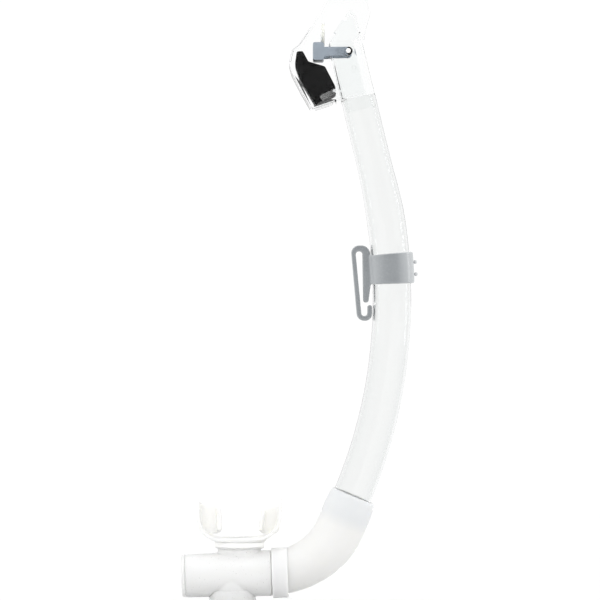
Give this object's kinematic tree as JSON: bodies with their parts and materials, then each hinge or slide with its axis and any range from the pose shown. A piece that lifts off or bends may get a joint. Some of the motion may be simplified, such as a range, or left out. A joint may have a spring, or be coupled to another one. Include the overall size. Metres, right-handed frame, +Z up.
{
  "type": "snorkel",
  "caption": "Dry-top snorkel: clear curved tube with a float valve in a clear hood, grey strap hook, soft elbow, swivelling mouth chamber with purge valve and soft mouthpiece",
  "frame": {"origin": "centre of the mask-strap slot in the keeper, on the plane of symmetry", "axes": "+X towards the back of the tube, +Y across the tube, +Z up the tube as it is worn"},
  "size_m": [0.1742, 0.0376, 0.4482],
  "materials": {
    "clear_tube": "clear, polished",
    "clear_moulding": "clear, polished, faint green-grey tint",
    "frosted_moulding": "translucent white, satin",
    "soft_silicone": "translucent white silicone, satin",
    "grey_plastic": "mid grey, satin moulded",
    "blue_grey_plastic": "blue-grey, satin moulded",
    "black_plastic": "black, satin moulded",
    "dark_plastic": "dark grey, satin moulded",
    "white_plastic": "natural nylon",
    "black_rubber": "black rubber",
    "steel": "stainless, brushed"
  },
  "bodies": {
    "tube": {"barrel_upper": "clear_tube", "barrel_middle": "clear_tube", "barrel_lower": "clear_tube", "valve_body": "clear_moulding", "hood": "clear_moulding", "hood_buttons": "clear_moulding", "float_pin": "steel", "lever_pins": "white_plastic", "pin_clips": "black_plastic", "flex_elbow": "soft_silicone", "swivel_ring": "soft_silicone", "swivel_insert": "clear_moulding", "swivel_oring": "black_rubber"},
    "float": {"float_body": "black_plastic", "float_plug": "dark_plastic"},
    "lever": {"valve_lever": "blue_grey_plastic", "flap_plate": "frosted_moulding", "valve_flap": "soft_silicone"},
    "keeper": {"strap_keeper": "grey_plastic", "keeper_studs": "grey_plastic"},
    "mouth_section": {"mouth_chamber": "frosted_moulding", "mouth_spigot": "frosted_moulding", "chamber_cap": "frosted_moulding", "purge_seat": "frosted_moulding", "purge_cover": "frosted_moulding", "mouthpiece": "soft_silicone", "mouthpiece_neck": "soft_silicone", "mouthpiece_tie": "white_plastic"},
    "purge": {"purge_disc": "soft_silicone"}
  },
  "joints": [
    {"name": "float_hinge", "type": "hinge", "parent": "tube", "child": "float", "pos_m": [-0.0193, 0, 0.1363], "axis": [0, 1, 0], "range_deg": [0, 16.5]},
    {"name": "lever_hinge", "type": "hinge", "parent": "tube", "child": "lever", "pos_m": [-0.009, 0, 0.1654], "axis": [0, 1, 0], "range_deg": [0, 34.5]},
    {"name": "keeper_slide", "type": "hinge", "parent": "tube", "child": "keeper", "pos_m": [-0.3508, 0, -0.0154], "axis": [0, 1, 0], "range_deg": [-2, 2]},
    {"name": "mouth_swivel", "type": "hinge", "parent": "tube", "child": "mouth_section", "pos_m": [-0.059, 0, -0.2169], "axis": [0.9994, 0, 0.0349], "range_deg": [-90, 90]},
    {"name": "purge_lift", "type": "slide", "parent": "mouth_section", "child": "purge", "axis": [0.0349, 0, -0.9994], "range_m": [0, 0.001], "stiffness_N_per_m": 50, "springref_m": -0.0005}
  ],
  "couplings": [
    {"joint": "lever_hinge", "follows": "float_hinge", "ratio": 2.09}
  ]
}
